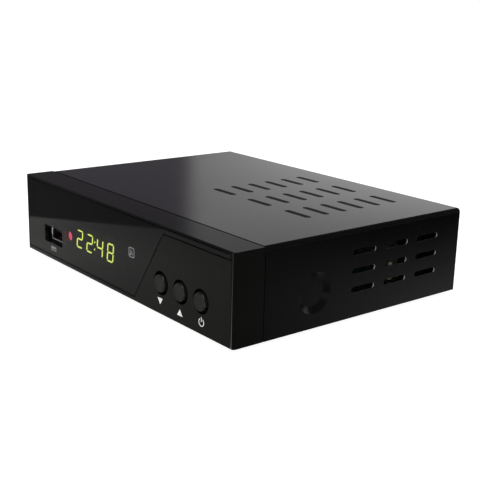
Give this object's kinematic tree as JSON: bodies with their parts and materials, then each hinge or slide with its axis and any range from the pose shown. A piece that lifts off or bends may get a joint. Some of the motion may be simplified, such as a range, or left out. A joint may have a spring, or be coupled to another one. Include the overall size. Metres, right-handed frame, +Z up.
{
  "type": "tv decoder box",
  "caption": "Low black set-top TV decoder: folded steel case with vent slots, moulded front with a smoked lens, clock display, USB socket and push buttons, aerial and HDMI sockets behind.",
  "frame": {"origin": "under the middle of the whole object, buttons and sockets included, on the surface that the feet stand on", "axes": "+Z up, -Y out of the front with the display and buttons, +X to the right seen from the front"},
  "size_m": [0.14, 0.1178, 0.033],
  "materials": {
    "case_paint": "satin black powder paint on folded steel",
    "front_plastic": "gloss black moulded plastic",
    "smoked_lens": "polished smoked plastic, printed black behind apart from its windows",
    "button_plastic": "gloss black moulded plastic",
    "foot_rubber": "matt black rubber",
    "screw_steel": "black-finished steel",
    "board_laminate": "green lacquered glass laminate",
    "black_plastic": "moulded black plastic",
    "white_plastic": "moulded off-white plastic",
    "tinned_steel": "bright tinned sheet",
    "nickel_plate": "bright nickel plate",
    "lamp_red": "lit red epoxy",
    "chip_epoxy": "matt black epoxy",
    "sink_aluminium": "black anodised",
    "capacitor_sleeve": "olive shrink sleeve",
    "cable_grey": "grey flat cable",
    "display_digits": "lit yellow-green display segments",
    "white_print": "screen-printed white ink"
  },
  "bodies": {
    "case": {"top_cover": "case_paint", "bottom_chassis": "case_paint", "front_bezel": "front_plastic", "front_lens": "smoked_lens", "foot_front_left": "foot_rubber", "foot_back_left": "foot_rubber", "foot_front_right": "foot_rubber", "foot_back_right": "foot_rubber", "cover_screw_left": "screw_steel", "cover_screw_right": "screw_steel", "cover_screw_top": "screw_steel", "front_board": "board_laminate", "front_board_screw_left": "screw_steel", "front_board_screw_right": "screw_steel", "display_module": "black_plastic", "status_lamp": "lamp_red", "infrared_receiver": "black_plastic", "switch_body_down": "black_plastic", "switch_body_up": "black_plastic", "switch_body_power": "black_plastic", "main_board": "board_laminate", "main_board_screw_front_left": "screw_steel", "main_board_screw_front_right": "screw_steel", "main_board_screw_back_left": "screw_steel", "main_board_screw_back_right": "screw_steel", "standoff_front_left": "nickel_plate", "standoff_front_right": "nickel_plate", "standoff_back_left": "nickel_plate", "standoff_back_right": "nickel_plate", "usb_shell": "tinned_steel", "usb_tongue": "black_plastic", "tuner_can": "tinned_steel", "aerial_input": "nickel_plate", "aerial_output": "nickel_plate", "hdmi_shell": "tinned_steel", "hdmi_tongue": "black_plastic", "av_jack": "black_plastic", "dc_jack": "black_plastic", "main_chip": "chip_epoxy", "heat_sink": "sink_aluminium", "memory_chip": "chip_epoxy", "flash_chip": "chip_epoxy", "crystal": "tinned_steel", "regulator": "chip_epoxy", "power_inductor": "sink_aluminium", "capacitor_supply": "capacitor_sleeve", "capacitor_core": "capacitor_sleeve", "capacitor_audio": "capacitor_sleeve", "front_header": "white_plastic", "main_header": "white_plastic", "flat_cable": "cable_grey"},
    "down_key": {"button_down": "button_plastic", "switch_plunger_down": "black_plastic"},
    "up_key": {"button_up": "button_plastic", "switch_plunger_up": "black_plastic"},
    "power_key": {"button_power": "button_plastic", "switch_plunger_power": "black_plastic"}
  },
  "joints": [
    {"name": "press_down", "type": "slide", "parent": "case", "child": "down_key", "axis": [0, 1, 0], "range_m": [0, 0.0006], "stiffness_N_per_m": 1000},
    {"name": "press_up", "type": "slide", "parent": "case", "child": "up_key", "axis": [0, 1, 0], "range_m": [0, 0.0006], "stiffness_N_per_m": 1000},
    {"name": "press_power", "type": "slide", "parent": "case", "child": "power_key", "axis": [0, 1, 0], "range_m": [0, 0.0006], "stiffness_N_per_m": 1000}
  ]
}
